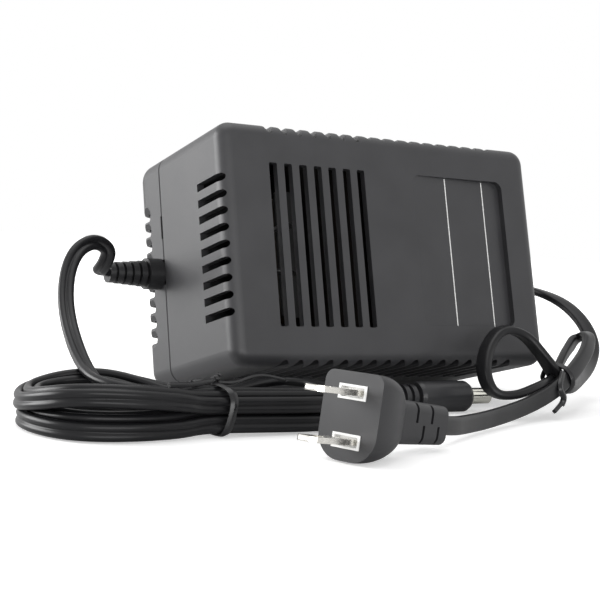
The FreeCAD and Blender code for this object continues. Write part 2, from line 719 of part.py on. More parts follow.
def inner_wires(side):
    """The two insulated wires inside one end of the case, from the strain relief to the pins."""
    wall = CASE_LENGTH - CASE_WALL - RELIEF_BARB if side > 0 else CASE_WALL + RELIEF_BARB
    tips = [tip for tip, _ in pins(PIN_RADIUS) if (tip.x - MIDDLE.x) * side > 0]
    wires = []
    for tip, sign in zip(tips, (-1, 1)):
        start = Vector(wall, RELIEF_Y, RELIEF_Z + sign * WIRE_SPREAD)
        out = start - X * (side * 6.0)
        above = Vector(tip.x + side * 11.0, tip.y + 10.0, (tip.z + out.z) / 2)
        near = Vector(tip.x + side * 4.5, tip.y - 4.0, tip.z)
        route = [start, out, above, near, tip + Vector(0, -WIRE_RADIUS, 0)]
        wires.append(tube(route, WIRE_RADIUS, f"inner wire {side} {sign}"))
    return Part.makeCompound(wires)


def hank_outline():
    """Plan of the hank: two round ends and a waist under the tie."""
    left = Vector(HANK_LEFT + HANK_LEFT_RADIUS, HANK_FRONT + HANK_LEFT_RADIUS, 0)
    right = Vector(HANK_RIGHT - HANK_RIGHT_RADIUS, HANK_FRONT + HANK_RIGHT_RADIUS, 0)
    back_left = left + Y * HANK_LEFT_RADIUS
    back_right = right + Y * HANK_RIGHT_RADIUS
    waist = Vector(HANK_TIE_X, HANK_TIE_BACK, 0)
    front_left, front_right = left - Y * HANK_LEFT_RADIUS, right - Y * HANK_RIGHT_RADIUS
    edges = [
        Part.Arc(back_left, left - X * HANK_LEFT_RADIUS, front_left).toShape(),
        Part.LineSegment(front_left, front_right).toShape(),
        Part.Arc(front_right, right + X * HANK_RIGHT_RADIUS, back_right).toShape(),
        Part.LineSegment(back_right, waist).toShape(),
        Part.LineSegment(waist, back_left).toShape(),
    ]
    return Part.Face(Part.Wire(edges)), waist


def waist_section(grow):
    """Section of the hank under its tie, grown by a distance, as a bar along X."""
    low = Vector(HANK_TIE_X - FAR, HANK_FRONT + TIE_THICKNESS - grow, TIE_THICKNESS - grow)
    size_y = HANK_TIE_BACK - HANK_FRONT - 2 * TIE_THICKNESS + 2 * grow
    size_z = HANK_HEIGHT - 2 * TIE_THICKNESS + 2 * grow
    bar = Part.makeBox(2 * FAR, size_y, size_z, low)
    return bar.makeFillet(TIE_CORNER, [e for e in bar.Edges if abs(e.tangentAt(0).x) > 0.9])


def tie_span(grow):
    """The slice of space along X that the hank's tie takes."""
    half = TIE_WIDTH / 2 + grow
    return box((HANK_TIE_X - half, -FAR, -FAR), (HANK_TIE_X + half, FAR, FAR))


def output_lead_hank():
    """The wound length of the output lead as one closed form."""
    face, waist = hank_outline()
    solid = face.extrude(Vector(0, 0, HANK_HEIGHT))
    corner = [
        e
        for e in solid.Edges
        if abs(e.tangentAt(0).z) > 0.9 and (e.CenterOfMass - waist).cross(Z).Length < 0.1
    ]
    solid = solid.makeFillet(HANK_WAIST_ROUND, corner)
    rims = [e for e in solid.Edges if abs(e.BoundBox.ZLength) < 1e-6]
    solid = solid.makeFillet(HANK_ROUND, rims)
    solid = solid.cut(tie_span(TIE_CLEARANCE).cut(waist_section(-TIE_CLEARANCE)))
    flats = [
        box((HANK_RIGHT - LEAD_FLAT, -FAR, -FAR), (FAR, FAR, FAR)),
        box((-FAR, hank_back() - LEAD_FLAT, -FAR), (HANK_TIE_X, FAR, FAR)),
    ]
    return solid.cut(flats)


def hank_back():
    """The back of the hank's left end, where the lead comes in."""
    return HANK_FRONT + 2 * HANK_LEFT_RADIUS


def hank_tie():
    """Twist tie pulled round the waist of the hank, its ends twisted at the back."""
    ring = waist_section(TIE_THICKNESS).cut(waist_section(0)).common(tie_span(0))
    knot_at = Vector(HANK_TIE_X, HANK_TIE_BACK - TIE_CORNER, HANK_HEIGHT - TIE_THICKNESS / 2)
    knot = Part.makeCone(TIE_KNOT_RADIUS, TIE_KNOT_TIP, TIE_KNOT_LENGTH, knot_at, TIE_KNOT_WAY)
    return ring.fuse(knot)


def mains_lead_tie():
    """Twist tie round the three passes of the mains lead, with a short tail."""
    along = Vector(MAINS_TIE_ALONG).normalize()
    foot = MAINS_TIE_CENTRE - along * (MAINS_TIE_WIDTH / 2)
    outer = Part.makeCylinder(MAINS_TIE_RADIUS + TIE_THICKNESS, MAINS_TIE_WIDTH, foot, along)
    ring = outer.cut(Part.makeCylinder(MAINS_TIE_RADIUS, MAINS_TIE_WIDTH, foot, along))
    tail = Part.makeBox(MAINS_TIE_WIDTH, TIE_THICKNESS, TAIL_LENGTH)
    tail.translate(Vector(-MAINS_TIE_WIDTH / 2, -MAINS_TIE_RADIUS - TIE_THICKNESS, -TAIL_LENGTH))
    tail.rotate(Vector(), X, TAIL_TURN)
    tail.Placement = FreeCAD.Placement(MAINS_TIE_CENTRE, Rotation(X, along)) * tail.Placement
    return ring.fuse(tail)


def jack_ribs_length():
    return JACK_RIBS * (JACK_RIB + JACK_RIB_GAP)


def jack_shell():
    """Overmould of the barrel connector: ribbed tail and round grip."""
    outline = [(0, 0)]
    at = 0.0
    for _ in range(JACK_RIBS):
        outline += [(at, JACK_RIB_RADIUS), (at + JACK_RIB, JACK_RIB_RADIUS)]
        at += JACK_RIB
        outline += [(at, JACK_CORE_RADIUS), (at + JACK_RIB_GAP, JACK_CORE_RADIUS)]
        at += JACK_RIB_GAP
    nose = at + JACK_BODY
    outline += [(at, JACK_RADIUS - JACK_SHOULDER_DROP), (at + JACK_SHOULDER, JACK_RADIUS)]
    outline += [(nose - JACK_NOSE_TAPER, JACK_RADIUS), (nose, JACK_NOSE_RADIUS)]
    outline += [(nose, SLEEVE_HUB_RADIUS), (nose - SLEEVE_HUB, SLEEVE_HUB_RADIUS)]
    outline.append((nose - SLEEVE_HUB, 0))
    return jack_turned(outline)


def jack_turned(outline):
    """A solid of revolution about the connector's axis, from (distance, radius) points."""
    points = [JACK_START + Vector(x, r, 0) for x, r in outline]
    return Part.Face(Part.makePolygon(points + points[:1])).revolve(JACK_START, X, 360)


def jack_tube(inner, outer, start, end):
    """A tube about the connector's axis, between two distances from its tail."""
    return jack_turned([(start, inner), (start, outer), (end, outer), (end, inner)])


def jack_nose():
    """From the connector's tail to the nose of its overmould."""
    return jack_ribs_length() + JACK_BODY


def jack_sleeve():
    """Outer contact: a thin sleeve with a wider hub inside the overmould."""
    nose = jack_nose()
    hub = jack_tube(SLEEVE_BORE, SLEEVE_HUB_RADIUS, nose - SLEEVE_HUB, nose)
    return hub.fuse(jack_tube(SLEEVE_BORE, SLEEVE_RADIUS, nose, nose + SLEEVE_LENGTH))


def jack_insulator():
    """Plastic tube between the sleeve and the inner contact."""
    tip = jack_nose() + SLEEVE_LENGTH - INSULATOR_SETBACK
    return jack_tube(CONTACT_RADIUS, SLEEVE_BORE, jack_nose() - SLEEVE_HUB, tip)


def jack_contact():
    """Inner contact, open at its end for the socket's pin."""
    tip = jack_nose() + SLEEVE_LENGTH - CONTACT_SETBACK
    return jack_tube(CONTACT_BORE, CONTACT_RADIUS, jack_nose() - SLEEVE_HUB, tip)


def plug_place():
    """Plug frame: +X from the face to the grip, +Y across its thickness, +Z from blade to blade."""
    turn = Rotation(Z, PLUG_HEADING) * Rotation(Y, PLUG_DROOP)
    return FreeCAD.Placement(PLUG_FACE, turn)


def plug_section(x, thickness, height, top_round, bottom_round):
    """A cross-section of the plug's body, with its own rounds at the top and bottom."""
    solid = box((x, -thickness / 2, -height / 2), (x + 1, thickness / 2, height / 2))
    for sign, radius in ((1, top_round), (-1, bottom_round)):
        corners = [
            e
            for e in solid.Edges
            if abs(e.tangentAt(0).x) > 0.9 and abs(e.CenterOfMass.z - sign * height / 2) < 1e-6
        ]
        solid = solid.makeFillet(radius, corners)
    return [f for f in solid.Faces if abs(f.CenterOfMass.x - x) < 1e-6][0].OuterWire


def plug_body():
    """Moulded body: a lofted head, and a grip with staggered slots."""
    head = Part.makeLoft(
        [
            plug_section(0, PLUG_THICKNESS, PLUG_HEIGHT, PLUG_TOP_ROUND, PLUG_BOTTOM_ROUND),
            plug_section(
                PLUG_MIDDLE,
                PLUG_THICKNESS - PLUG_TAPER,
                PLUG_HEIGHT - PLUG_TAPER,
                PLUG_TOP_ROUND,
                PLUG_BOTTOM_ROUND - PLUG_TAPER / 2,
            ),
            plug_section(PLUG_BODY, GRIP_THICKNESS, GRIP_HEIGHT, GRIP_ROUND, GRIP_ROUND),
        ],
        True,
    )
    end = PLUG_BODY + PLUG_GRIP
    grip = Part.makeLoft(
        [
            plug_section(PLUG_BODY, GRIP_THICKNESS, GRIP_HEIGHT, GRIP_ROUND, GRIP_ROUND),
            plug_section(end, GRIP_TIP_THICKNESS, GRIP_TIP_HEIGHT, GRIP_ROUND, GRIP_ROUND),
        ],
        True,
    )
    return head.fuse(grip).cut(grip_slots() + [plug_holder_form()])


def grip_slots():
    """Short slots across both sides of the grip, from its edges in turn."""
    slots = []
    half = GRIP_HEIGHT / 2
    for i in range(GRIP_SLOTS):
        x = PLUG_BODY + GRIP_FIRST_SLOT + i * GRIP_SLOT_PITCH
        low = (x, GRIP_THICKNESS / 2 - GRIP_SLOT_DEPTH, -half - OPEN)
        slot = box(low, (x + GRIP_SLOT, GRIP_THICKNESS / 2 + OPEN, GRIP_SLOT_REACH - half))
        for side in (-1, 1):
            cutter = slot if (i % 2 == 0) == (side > 0) else slot.mirror(Vector(), Z)
            slots.append(cutter if side > 0 else cutter.mirror(Vector(), Y))
    return slots


def plug_holder_form():
    """The space of the hard holder: a bridge and the pad round each blade."""
    pads = []
    for z in (-BLADE_SPACING / 2, BLADE_SPACING / 2):
        low = (-HOLDER_PROUD, -HOLDER_PAD_WIDTH / 2, z - HOLDER_PAD_HEIGHT / 2)
        high = (HOLDER_DEPTH, HOLDER_PAD_WIDTH / 2, z + HOLDER_PAD_HEIGHT / 2)
        pads.append(box(low, high))
    half = BLADE_SPACING / 2
    low = (HOLDER_DEPTH - HOLDER_BRIDGE, -HOLDER_PAD_WIDTH / 2, -half)
    bridge = box(low, (HOLDER_DEPTH, HOLDER_PAD_WIDTH / 2, half))
    return pads[0].fuse([pads[1], bridge]).removeSplitter()


def blade(sign):
    """One flat blade, chamfered at its tip."""
    z = sign * BLADE_SPACING / 2
    outline = [
        (BLADE_ROOT, -BLADE_WIDTH / 2),
        (BLADE_ROOT, BLADE_WIDTH / 2),
        (-BLADE_REACH + BLADE_CHAMFER, BLADE_WIDTH / 2),
        (-BLADE_REACH, BLADE_WIDTH / 2 - BLADE_CHAMFER),
        (-BLADE_REACH, BLADE_CHAMFER - BLADE_WIDTH / 2),
        (-BLADE_REACH + BLADE_CHAMFER, -BLADE_WIDTH / 2),
    ]
    points = [Vector(x, y, z - BLADE_THICKNESS / 2) for x, y in outline]
    plate = Part.Face(Part.makePolygon(points + points[:1])).extrude(Z * BLADE_THICKNESS)
    ends = [e for e in plate.Edges if abs(e.CenterOfMass.x + BLADE_REACH) < 1e-6]
    tip = [e for e in ends if abs(e.tangentAt(0).y) > 0.9]
    plate = plate.makeChamfer(BLADE_TIP_CHAMFER, tip)
    hole_foot = Vector(-BLADE_HOLE_AT, 0, z - BLADE_THICKNESS)
    return plate.cut(Part.makeCylinder(BLADE_HOLE, 2 * BLADE_THICKNESS, hole_foot, Z))


def plug_holder():
    """Hard holder of both blades, with a shallow slot round each blade's root."""
    cutters = [blade(-1), blade(1)]
    half_y, half_z = BLADE_WIDTH / 2 + HOLDER_SLOT, BLADE_THICKNESS / 2 + HOLDER_SLOT
    for z in (-BLADE_SPACING / 2, BLADE_SPACING / 2):
        low = (-HOLDER_PROUD - OPEN, -half_y, z - half_z)
        cutters.append(box(low, (HOLDER_SLOT_DEPTH - HOLDER_PROUD, half_y, z + half_z)))
    return plug_holder_form().cut(cutters)


def build():
    """Writes every piece: the case and what is in it, then both leads."""
    os.makedirs("parts", exist_ok=True)
    write("front_shell", front_shell(), LEAN)
    write("rear_shell", rear_shell(), LEAN)
    write("case_screws", case_screws(), LEAN)
    write("core_e_stack", core_e_stack(), LEAN)
    write("core_i_stack", core_i_stack(), LEAN)
    write("bobbin", bobbin(), LEAN)
    write("terminal_pins", Part.makeCompound([p for _, p in pins(PIN_RADIUS)]), LEAN)
    write("primary_winding", winding(True), LEAN)
    write("secondary_winding", winding(False), LEAN)
    write("primary_tape", winding_tape(True), LEAN)
    write("secondary_tape", winding_tape(False), LEAN)
    write("thermal_cutout", thermal_cutout(), LEAN)
    write("mains_inner_wires", inner_wires(1), LEAN)
    write("output_inner_wires", inner_wires(-1), LEAN)
    write("mains_strain_relief", relief(1, MAINS_RELIEF_RIBS), LEAN)
    write("output_strain_relief", relief(-1, OUTPUT_RELIEF_RIBS), LEAN)
    build_output_lead()
    build_mains_lead()


def build_output_lead():
    """The output lead with its hank and connector, where they lie."""
    start = relief_tip(-1, OUTPUT_RELIEF_RIBS)
    hank_in = Vector(OUTPUT_ROUTE[-1][0], hank_back() - LEAD_FLAT, 8.0)
    out = start - X * LEAD_EXIT
    route = [tuple(start), tuple(out)] + OUTPUT_ROUTE + [tuple(hank_in)]
    write("output_lead", tube(route, OUTPUT_LEAD / 2, "output lead"))
    write("output_lead_hank", output_lead_hank())
    write("hank_tie", hank_tie())
    hank_out = Vector(HANK_RIGHT - LEAD_FLAT, TAIL_ROUTE[0][1], TAIL_ROUTE[0][2])
    route = [tuple(hank_out)] + TAIL_ROUTE + [tuple(JACK_START)]
    write("output_lead_end", tube(route, OUTPUT_LEAD / 2, "output lead end"))
    write("jack_shell", jack_shell())
    write("jack_sleeve", jack_sleeve())
    write("jack_insulator", jack_insulator())
    write("jack_contact", jack_contact())


def build_mains_lead():
    """The mains lead with its tie and plug, where they lie."""
    place = plug_place()
    start = relief_tip(1, MAINS_RELIEF_RIBS)
    end = place.multVec(Vector(PLUG_BODY + PLUG_GRIP, 0, 0))
    out = start + X * (2 * LEAD_EXIT)
    grip_out = place.multVec(Vector(PLUG_BODY + PLUG_GRIP + 2 * LEAD_EXIT, 0, 0))
    route = [tuple(start), tuple(out)] + MAINS_ROUTE + [tuple(grip_out), tuple(end)]
    write("mains_lead", tube(route, MAINS_LEAD / 2, "mains lead"))
    write("mains_lead_tie", mains_lead_tie())
    write("plug_body", plug_body(), place)
    write("plug_holder", plug_holder(), place)
    write("plug_blade_lower", blade(-1), place)
    write("plug_blade_upper", blade(1), place)


build()
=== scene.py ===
import math
import random

import bmesh
import bpy
from mathutils import Matrix, Vector


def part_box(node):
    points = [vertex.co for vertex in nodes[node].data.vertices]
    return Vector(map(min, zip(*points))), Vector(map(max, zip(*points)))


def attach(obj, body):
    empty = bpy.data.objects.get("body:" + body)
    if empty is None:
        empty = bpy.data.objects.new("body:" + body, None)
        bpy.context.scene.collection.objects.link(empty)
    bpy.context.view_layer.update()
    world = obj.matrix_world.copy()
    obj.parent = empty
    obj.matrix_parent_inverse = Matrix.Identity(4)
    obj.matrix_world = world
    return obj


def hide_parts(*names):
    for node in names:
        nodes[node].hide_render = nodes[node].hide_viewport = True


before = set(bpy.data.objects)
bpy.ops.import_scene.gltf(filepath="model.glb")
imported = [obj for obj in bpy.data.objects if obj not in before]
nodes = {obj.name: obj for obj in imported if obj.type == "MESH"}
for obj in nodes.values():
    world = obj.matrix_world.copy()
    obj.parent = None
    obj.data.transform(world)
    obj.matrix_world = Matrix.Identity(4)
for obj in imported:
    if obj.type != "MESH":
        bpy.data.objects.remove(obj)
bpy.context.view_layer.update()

# Case: two injection-moulded shells of black flame-retardant plastic with a fine spark-eroded
# texture. They close on a tongue and groove, and four screws from the rear hold them together.


def shader(name, base, roughness):
    """A material, its node tree and its Principled shader with the plain values set."""
    material = bpy.data.materials.new(name)
    material.use_nodes = True
    tree = material.node_tree
    skin = tree.nodes["Principled BSDF"]
    skin.inputs["Base Color"].default_value = (*base, 1)
    skin.inputs["Roughness"].default_value = roughness
    return material, tree, skin


def speckle(tree, size, detail=3.0):
    """Noise of a given size in metres over the object's own coordinates."""
    place = tree.nodes.new("ShaderNodeTexCoord")
    noise = tree.nodes.new("ShaderNodeTexNoise")
    noise.inputs["Scale"].default_value = 1 / size
    noise.inputs["Detail"].default_value = detail
    tree.links.new(place.outputs["Object"], noise.inputs["Vector"])
    return noise.outputs["Fac"]


def spread(tree, value, low, high):
    """The noise value stretched between two ends."""
    stretch = tree.nodes.new("ShaderNodeMapRange")
    stretch.inputs["From Min"].default_value = 0.3
    stretch.inputs["From Max"].default_value = 0.7
    stretch.inputs["To Min"].default_value = low
    stretch.inputs["To Max"].default_value = high
    tree.links.new(value, stretch.inputs["Value"])
    return stretch.outputs["Result"]


def relief_of(tree, skin, layers):
    """Bumps one on another, each from (noise value, height in metres)."""
    before = None
    for value, height in layers:
        bump = tree.nodes.new("ShaderNodeBump")
        bump.inputs["Strength"].default_value = 1.0
        bump.inputs["Distance"].default_value = height
        tree.links.new(value, bump.inputs["Height"])
        if before:
            tree.links.new(before, bump.inputs["Normal"])
        before = bump.outputs["Normal"]
    tree.links.new(before, skin.inputs["Normal"])


def two_tones(tree, skin, value, dark, light):
    """Base colour between two tones by a noise value."""
    tones = tree.nodes.new("ShaderNodeMix")
    tones.data_type = "RGBA"
    tones.inputs["A"].default_value = (*dark, 1)
    tones.inputs["B"].default_value = (*light, 1)
    tree.links.new(value, tones.inputs["Factor"])
    tree.links.new(tones.outputs["Result"], skin.inputs["Base Color"])


def moulded(name, dark, light, roughness, grain, grain_height, gloss=0.5):
    """A moulded plastic with grain, cloudy gloss and two near tones."""
    material, tree, skin = shader(name, dark, roughness)
    skin.inputs["Specular IOR Level"].default_value = gloss
    cloud = speckle(tree, 0.012)
    two_tones(tree, skin, spread(tree, cloud, 0.0, 1.0), dark, light)
    gloss_cloud = spread(tree, cloud, roughness - 0.04, roughness + 0.05)
    tree.links.new(gloss_cloud, skin.inputs["Roughness"])
    relief_of(tree, skin, [(speckle(tree, grain), grain_height), (speckle(tree, 0.02), 0.00004)])
    return material


def dress(material, *names):
    """Gives CAD nodes their material."""
    for name in names:
        nodes[name].data.materials.clear()
        nodes[name].data.materials.append(material)


CASE_GRAIN = 0.00035
case_plastic = moulded(
    "case_plastic", (0.028, 0.028, 0.03), (0.034, 0.034, 0.0365), 0.42, CASE_GRAIN, 0.000012, 0.4
)
dress(case_plastic, "front_shell", "rear_shell")

# Rules: two thin white lines pad-printed across the sloping field on the front shell,
# the only part of the print that is kept.
CASE_SIZE = Vector((0.128, 0.065, 0.08))
CASE_LEAN = math.radians(15)
case_middle_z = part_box("front_shell")[1].z / 2
case_place = (
    Matrix.Translation((0, 0, case_middle_z))
    @ Matrix.Rotation(-CASE_LEAN, 4, "X")
    @ Matrix.Translation(-CASE_SIZE / 2)
)
FIELD_X = (0.075, 0.1149)
FIELD_Z = (0.0134, 0.0666)
FIELD_Y = (0.0003, 0.0022)
RULE_WIDTH = 0.00042
RULE_THICKNESS = 0.00003
RULE_SHORTER = 0.0006  # than the field is high
RULE_X = (0.0898, 0.1070)


def object_of(bm, name, material):
    """A finished mesh object at the origin that rides with the case."""
    mesh = bpy.data.meshes.new(name)
    bm.to_mesh(mesh)
    bm.free()
    thing = bpy.data.objects.new(name, mesh)
    bpy.context.scene.collection.objects.link(thing)
    mesh.materials.append(material)
    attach(thing, "root")
    return thing


def field_depth(x):
    """How deep the field's sloping floor lies at a place along the case."""
    share = (x - FIELD_X[0]) / (FIELD_X[1] - FIELD_X[0])
    return FIELD_Y[0] + share * (FIELD_Y[1] - FIELD_Y[0])


bm = bmesh.new()
for x in RULE_X:
    bar = bmesh.ops.create_cube(bm, size=1)["verts"]
    size = Vector((RULE_WIDTH, RULE_THICKNESS, FIELD_Z[1] - FIELD_Z[0] - RULE_SHORTER))
    bmesh.ops.scale(bm, vec=size, verts=bar)
    middle = Vector((x, field_depth(x), (FIELD_Z[0] + FIELD_Z[1]) / 2))
    bmesh.ops.translate(bm, vec=middle, verts=bar)
bmesh.ops.transform(bm, matrix=case_place, verts=bm.verts)
white_ink, tree, skin = shader("white_ink", (0.72, 0.72, 0.71), 0.5)
ink_cloud = spread(tree, speckle(tree, 0.0006), 0.0, 1.0)
two_tones(tree, skin, ink_cloud, (0.6, 0.6, 0.59), (0.8, 0.8, 0.79))
relief_of(tree, skin, [(speckle(tree, 0.0003), 0.00001)])
rules = object_of(bm, "printed_rules", white_ink)

# Inside the case: varnished laminations, a nylon bobbin with its two taped copper windings,
# tinned pins, the cut-out's drawn can and its wires, seen a little through the vents.


def metal(name, base, roughness, scratch, brushed=(1, 1, 1)):
    """A metal with fine marks drawn out along one axis."""
    material, tree, skin = shader(name, base, roughness)
    skin.inputs["Metallic"].default_value = 1.0
    place = tree.nodes.new("ShaderNodeTexCoord")
    stretch = tree.nodes.new("ShaderNodeMapping")
    stretch.inputs["Scale"].default_value = brushed
    noise = tree.nodes.new("ShaderNodeTexNoise")
    noise.inputs["Scale"].default_value = 1 / scratch
    noise.inputs["Detail"].default_value = 4.0
    tree.links.new(place.outputs["Object"], stretch.inputs["Vector"])
    tree.links.new(stretch.outputs["Vector"], noise.inputs["Vector"])
    marks = noise.outputs["Fac"]
    tree.links.new(spread(tree, marks, roughness - 0.06, roughness + 0.1), skin.inputs["Roughness"])
    two_tones(tree, skin, spread(tree, marks, 0.0, 1.0), tuple(0.9 * c for c in base), base)
    relief_of(tree, skin, [(marks, 0.000006)])
    return material


dress(metal("screw_zinc", (0.45, 0.45, 0.44), 0.35, 0.0008), "case_screws")
core_varnish = metal("core_varnish", (0.014, 0.012, 0.011), 0.55, 0.0005, (1, 0.1, 0.1))
dress(core_varnish, "core_e_stack", "core_i_stack")
bobbin_nylon = moulded(
    "bobbin_nylon", (0.012, 0.012, 0.012), (0.016, 0.016, 0.016), 0.5, 0.0006, 0.00001, 0.3
)
dress(bobbin_nylon, "bobbin")
enamelled_copper = metal("enamelled_copper", (0.3, 0.1, 0.04), 0.3, 0.0006, (1, 0.2, 1))
dress(enamelled_copper, "primary_winding", "secondary_winding")
winding_tape = moulded(
    "winding_tape", (0.022, 0.014, 0.006), (0.03, 0.02, 0.009), 0.4, 0.002, 0.00001, 0.3
)
dress(winding_tape, "primary_tape", "secondary_tape")
dress(metal("pin_tin", (0.3, 0.3, 0.29), 0.3, 0.0006), "terminal_pins")
dress(metal("cutout_can", (0.25, 0.25, 0.25), 0.35, 0.0009, (1, 1, 0.1)), "thermal_cutout")
wire_vinyl = moulded(
    "wire_vinyl", (0.02, 0.02, 0.02), (0.026, 0.026, 0.026), 0.35, 0.0008, 0.000006
)
dress(wire_vinyl, "mains_inner_wires", "output_inner_wires")

# Strain reliefs: soft black vinyl moulded on each lead, cut into ribs joined by webs so that
# the lead bends gently. Each sits by its neck in a notch of the rear shell.
lead_vinyl = moulded(
    "lead_vinyl", (0.007, 0.007, 0.0078), (0.01, 0.01, 0.011), 0.34, 0.0009, 0.000008, 0.22
)
moulded_vinyl = moulded(
    "moulded_vinyl", (0.011, 0.011, 0.012), (0.015, 0.015, 0.016), 0.4, 0.0005, 0.00001, 0.35
)
dress(moulded_vinyl, "output_strain_relief", "mains_strain_relief")

# Output lead: flat twin lead, two vinyl-covered cores side by side with a groove between.
# It arches out of its strain relief, goes down into the tied hank and out to the connector.
TWIN_WIDTH = 0.005
TWIN_THICKNESS = 0.00262
TWIN_WRAP = 150 / 90  # each core is round for 150 degrees to either side of its outer edge
LEAD_STEPS = 12  # points of a lead's path between two control points
EDGE_REACH = 0.002  # from a lead's middle to the curve that gives its width's direction
TWIN_LEAN = 0.25  # how far the strands in the hank lean either way
OUTPUT_ROUTE = [
    # point, direction of the lead's width
    ((-0.0804, 0.0165, 0.0404), (0, -1, 0)),
    ((-0.0872, 0.0160, 0.0402), (0.3, -1, 0)),
    ((-0.0874, 0.0104, 0.0428), (0.85, -0.52, 0.06)),
    ((-0.0871, 0.0066, 0.0478), (0.85, -0.52, 0.06)),
    ((-0.0912, 0.0042, 0.0505), (0.58, -0.31, 0.74)),
    ((-0.0962, 0.0018, 0.0508), (-0.2, 0.15, 0.95)),
    ((-0.1020, -0.0014, 0.0478), (-0.6, 0.4, 0.7)),
    ((-0.1062, -0.0055, 0.0416), (-0.8, 0.5, 0.3)),
    ((-0.1093, -0.0125, 0.0335), (-0.85, 0.52, 0.1)),
    ((-0.1113, -0.0220, 0.0256), (-0.85, 0.52, -0.06)),
    ((-0.1134, -0.0370, 0.0176), (-0.85, 0.45, 0.1)),
    ((-0.1150, -0.0520, 0.0134), (-0.8, 0.2, 0.4)),
    ((-0.1120, -0.0620, 0.0116), (-0.4, 0, 0.9)),
    ((-0.1030, -0.0655, 0.0108), (0, 0, 1)),
]


def apart(route):
    """A route's points, and its directions of the width."""
    return [Vector(point) for point, _ in route], [Vector(way) for _, way in route]


HANK_LEFT = Vector((-0.1170, -0.0600, 0))
LEFT_END = [
    # the outermost turn's left end from front to back, and how far it rises over its run at the tie
    (0.0170, -0.0200, 0.0012),
    (-0.0010, -0.0215, 0.0027),
    (-0.0140, -0.0165, 0.0026),
    (-0.0197, -0.0050, 0.0001),
    (-0.0200, 0.0100, -0.0021),
    (-0.0140, 0.0205, -0.0007),
    (-0.0005, 0.0225, 0.0021),
    (0.0130, 0.0165, 0.0028),
]
HANK_RIGHT = Vector((-0.0560, -0.0555, 0))
HANK_TIE_X = -0.087
TIE_HALF = 0.005
QUARTER_STEPS = (22.5, 67.5, 112.5, 157.5)  # degrees round the right end
TURNS = [
    # left size, height and rise, right radius and height, front run and height, back run and height
    (1.00, 0.0094, 1.0, 0.0202, 0.0083, -0.0763, 0.0089, -0.0580, 0.0092),
    (0.88, 0.0107, 0.9, 0.0173, 0.0097, -0.0737, 0.0103, -0.0606, 0.0098),
    (0.76, 0.0100, 0.5, 0.0146, 0.0100, -0.0711, 0.0110, -0.0632, 0.0086),
    (0.96, 0.0029, 0.0, 0.0197, 0.0028, -0.0763, 0.0036, -0.0652, 0.0060),
    (0.83, 0.0044, 0.2, 0.0170, 0.0060, -0.0737, 0.0058, -0.0582, 0.0037),
    (0.70, 0.0054, 0.0, 0.0143, 0.0060, -0.0711, 0.0062, -0.0606, 0.0040),
]


def left_end(size, height, rise):
    """The points of a turn round the left end of the hank, from its front run to its back run."""
    return [HANK_LEFT + Vector((size * x, size * y, height + rise * z)) for x, y, z in LEFT_END]


def right_end(radius, height):
    """The four points of a half turn round the right end of the hank, from back to front."""
    reach = radius / math.cos(math.radians(QUARTER_STEPS[0]))
    points = []
    for step in QUARTER_STEPS:
        angle = math.radians(90 - step)
        out = Vector((reach * math.cos(angle), reach * math.sin(angle), height))
        points.append(HANK_RIGHT + out)
    return points


def pass_under_tie(start_x, column, height):
    """Two points where a strand lies straight under the tie."""
    side = math.copysign(TIE_HALF, start_x)
    return [Vector((x, column, height)) for x in (HANK_TIE_X + side, HANK_TIE_X - side)]


def hank_points():
    """The hank's turns: out along the back, round the right end, back along the front."""
    points = []
    for size, left_z, rise, right_r, right_z, front, front_z, back, back_z in TURNS:
        points += pass_under_tie(-1, back, back_z)
        points += right_end(right_r, right_z)
        points += pass_under_tie(1, front, front_z)
        points += left_end(size, left_z, rise)
    return points


OUTPUT_END = [
    (-0.0920, -0.0632, 0.0040),
    (-0.0800, -0.0625, 0.0040),
    (-0.0620, -0.0560, 0.0055),
    (-0.0450, -0.0500, 0.0066),
    (-0.0275, -0.0495, 0.0066),
    (-0.0165, -0.0455, 0.0054),
    (-0.0070, -0.0455, 0.0054),
]


def sampled(points, name):
    """Points along the smooth curve that has these as its control points."""
    curve = bpy.data.curves.new(name, "CURVE")
    curve.dimensions = "3D"
    curve.resolution_u = LEAD_STEPS
    spline = curve.splines.new("NURBS")
    spline.points.add(len(points) - 1)
    for target, point in zip(spline.points, points):
        target.co = (*point, 1)
    spline.order_u = 3
    spline.use_endpoint_u = True
    bare = bpy.data.objects.new(name, curve)
    mesh = bpy.data.meshes.new_from_object(bare)
    line = [v.co.copy() for v in mesh.vertices]
    bpy.data.meshes.remove(mesh)
    bpy.data.curves.remove(curve)
    return line


def lead_path(points, ways):
    """The lead's centreline, and a matrix at each of its points: X across the width, Z ahead."""
    line = sampled(points, "middle")
    edge = sampled([p + w * EDGE_REACH for p, w in zip(points, ways)], "edge")
    places = []
    for i, point in enumerate(line):
        ahead = (line[min(i + 1, len(line) - 1)] - line[max(i - 1, 0)]).normalized()
        across = edge[i] - point
        across = (across - ahead * across.dot(ahead)).normalized()
        turn = Matrix((across, ahead.cross(across), ahead)).transposed()
        places.append(Matrix.Translation(point) @ turn.to_4x4())
    return line, places


def swept(section, places):
    """A closed tube of one section along a path."""
    bm = section
    ring = list(bm.edges)
    bmesh.ops.transform(bm, matrix=places[0], verts=bm.verts)
    bmesh.ops.contextual_create(bm, geom=ring)
    for before, after in zip(places, places[1:]):
        grown = bmesh.ops.extrude_edge_only(bm, edges=ring)["geom"]
        ring = [g for g in grown if isinstance(g, bmesh.types.BMEdge)]
        corners = [g for g in grown if isinstance(g, bmesh.types.BMVert)]
        bmesh.ops.transform(bm, matrix=after @ before.inverted(), verts=corners)
    bmesh.ops.contextual_create(bm, geom=ring)
    bmesh.ops.recalc_face_normals(bm, faces=bm.faces)
    for face in bm.faces:
        face.smooth = len(face.verts) == 4
    return bm


